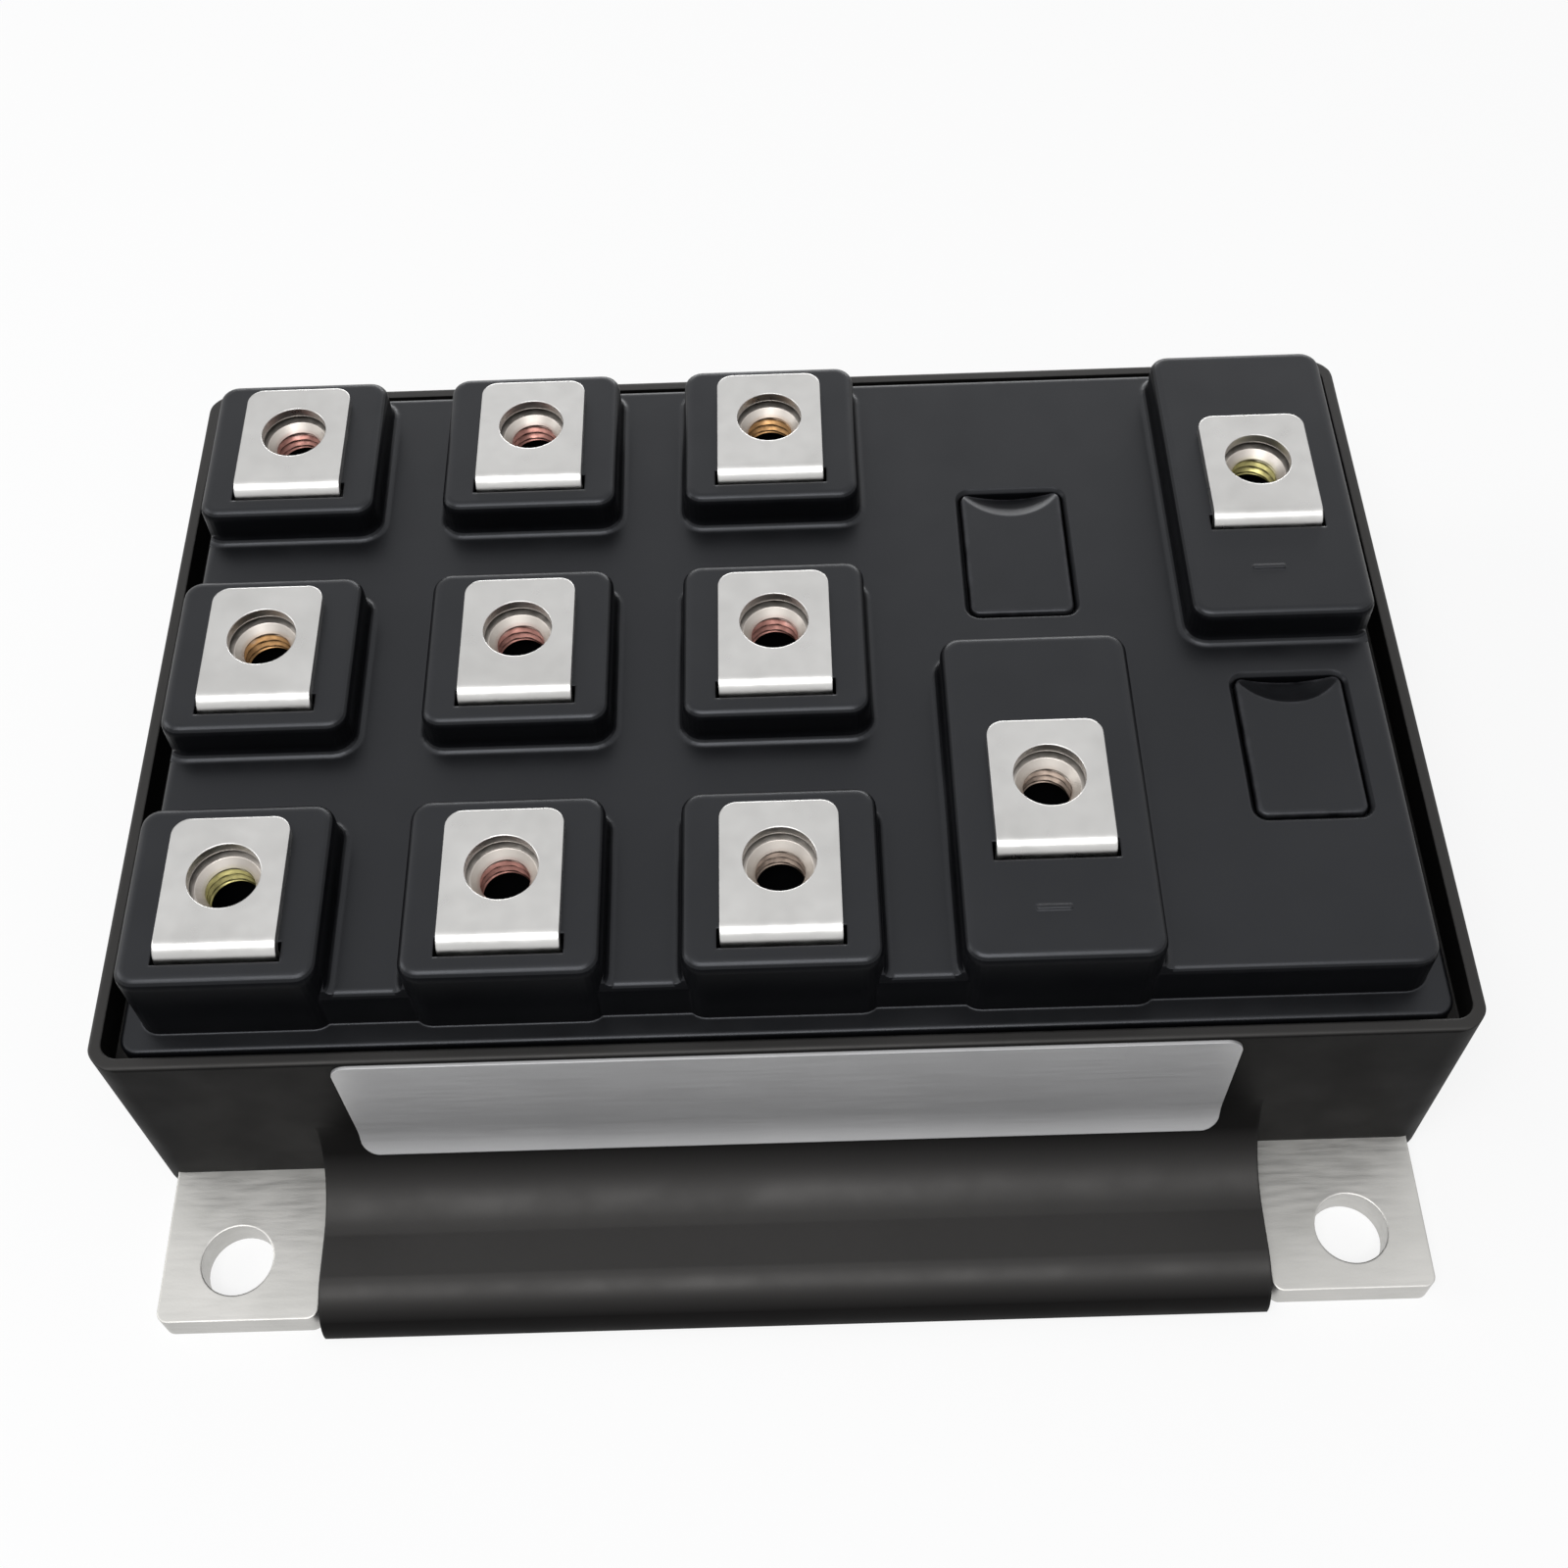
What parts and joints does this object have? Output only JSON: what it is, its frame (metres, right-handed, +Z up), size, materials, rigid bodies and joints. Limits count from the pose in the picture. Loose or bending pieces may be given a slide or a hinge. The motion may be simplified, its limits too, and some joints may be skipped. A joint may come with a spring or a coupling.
{
  "type": "power semiconductor module",
  "caption": "Low rectangular power module: plated base plate with corner mounting tabs, dark moulded case and cover, and raised bosses with bent screw terminals over captive nuts.",
  "frame": {"origin": "centre of the base plate's underside, which is the face that lies on the heat sink", "axes": "+Z up out of the terminal side, +X along the longer side, -Y towards the wall that carries the rating plate"},
  "size_m": [0.116, 0.107, 0.0327],
  "materials": {
    "base_metal": "matte nickel plate on copper",
    "moulded_case": "satin glass-filled moulding",
    "moulded_cover": "satin glass-filled moulding",
    "rating_metal": "bare brushed foil plate",
    "terminal_metal": "satin nickel plate on copper strip",
    "nut_metal": "plated steel with a pink and yellow tint",
    "ceramic": "fired alumina",
    "copper": "bare copper",
    "silicon": "polished silicon",
    "bond_wire": "drawn wire",
    "resin": "cast epoxy"
  },
  "bodies": {
    "root": {"base_plate": "base_metal", "case_frame": "moulded_case", "cover": "moulded_cover", "rating_plate": "rating_metal", "terminal_left_front": "terminal_metal", "terminal_left_middle": "terminal_metal", "terminal_left_back": "terminal_metal", "terminal_inner_front": "terminal_metal", "terminal_inner_middle": "terminal_metal", "terminal_inner_back": "terminal_metal", "terminal_centre_front": "terminal_metal", "terminal_centre_middle": "terminal_metal", "terminal_centre_back": "terminal_metal", "terminal_main_front": "terminal_metal", "terminal_main_back": "terminal_metal", "terminal_nuts": "nut_metal", "plug_back": "moulded_cover", "plug_front": "moulded_cover", "ceramic_substrates": "ceramic", "copper_tracks": "copper", "transistor_dies": "silicon", "diode_dies": "silicon", "bond_wires": "bond_wire", "resin_seal": "resin"}
  },
  "joints": []
}
